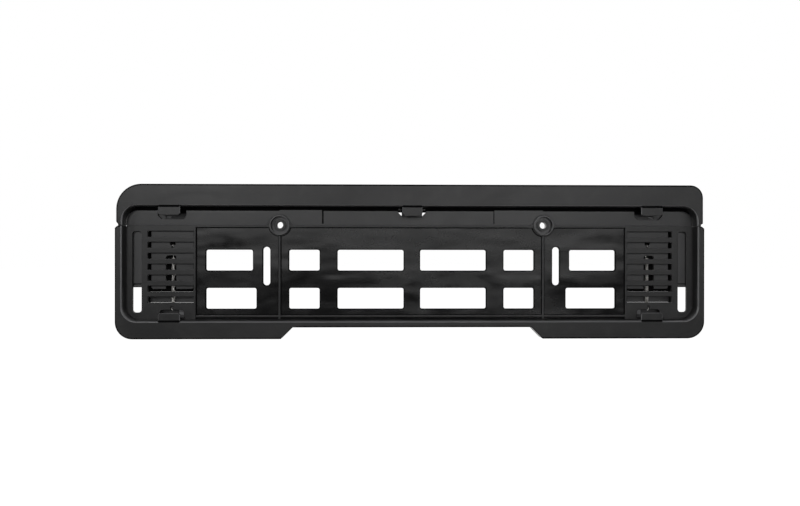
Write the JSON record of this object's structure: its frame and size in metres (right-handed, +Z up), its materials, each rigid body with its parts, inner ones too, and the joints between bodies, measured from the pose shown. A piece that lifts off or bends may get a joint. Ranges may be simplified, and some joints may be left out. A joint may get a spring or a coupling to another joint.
{
  "type": "number plate holder",
  "caption": "Wide black holder for a car's number plate: a windowed base with louvred guides and a sprung top frame that slides up to let the plate in under its tabs.",
  "frame": {"origin": "midway between the two screw holes, on the mounting plane at the back", "axes": "+X along the length to the viewer's right, +Z up, -Y towards the viewer"},
  "size_m": [0.535, 0.0154, 0.14],
  "materials": {
    "base_plastic": "satin black moulding",
    "frame_plastic": "satin black moulding",
    "spring_steel": "bright drawn wire"
  },
  "bodies": {
    "base_body": {"base": "base_plastic", "left_spring": "spring_steel", "right_spring": "spring_steel"},
    "frame_body": {"top_frame": "frame_plastic"}
  },
  "joints": [
    {"name": "frame_slide", "type": "slide", "parent": "base_body", "child": "frame_body", "axis": [0, 0, 1], "range_m": [0, 0.02], "stiffness_N_per_m": 300, "springref_m": -0.015, "deforming": ["left_spring", "right_spring"]}
  ]
}
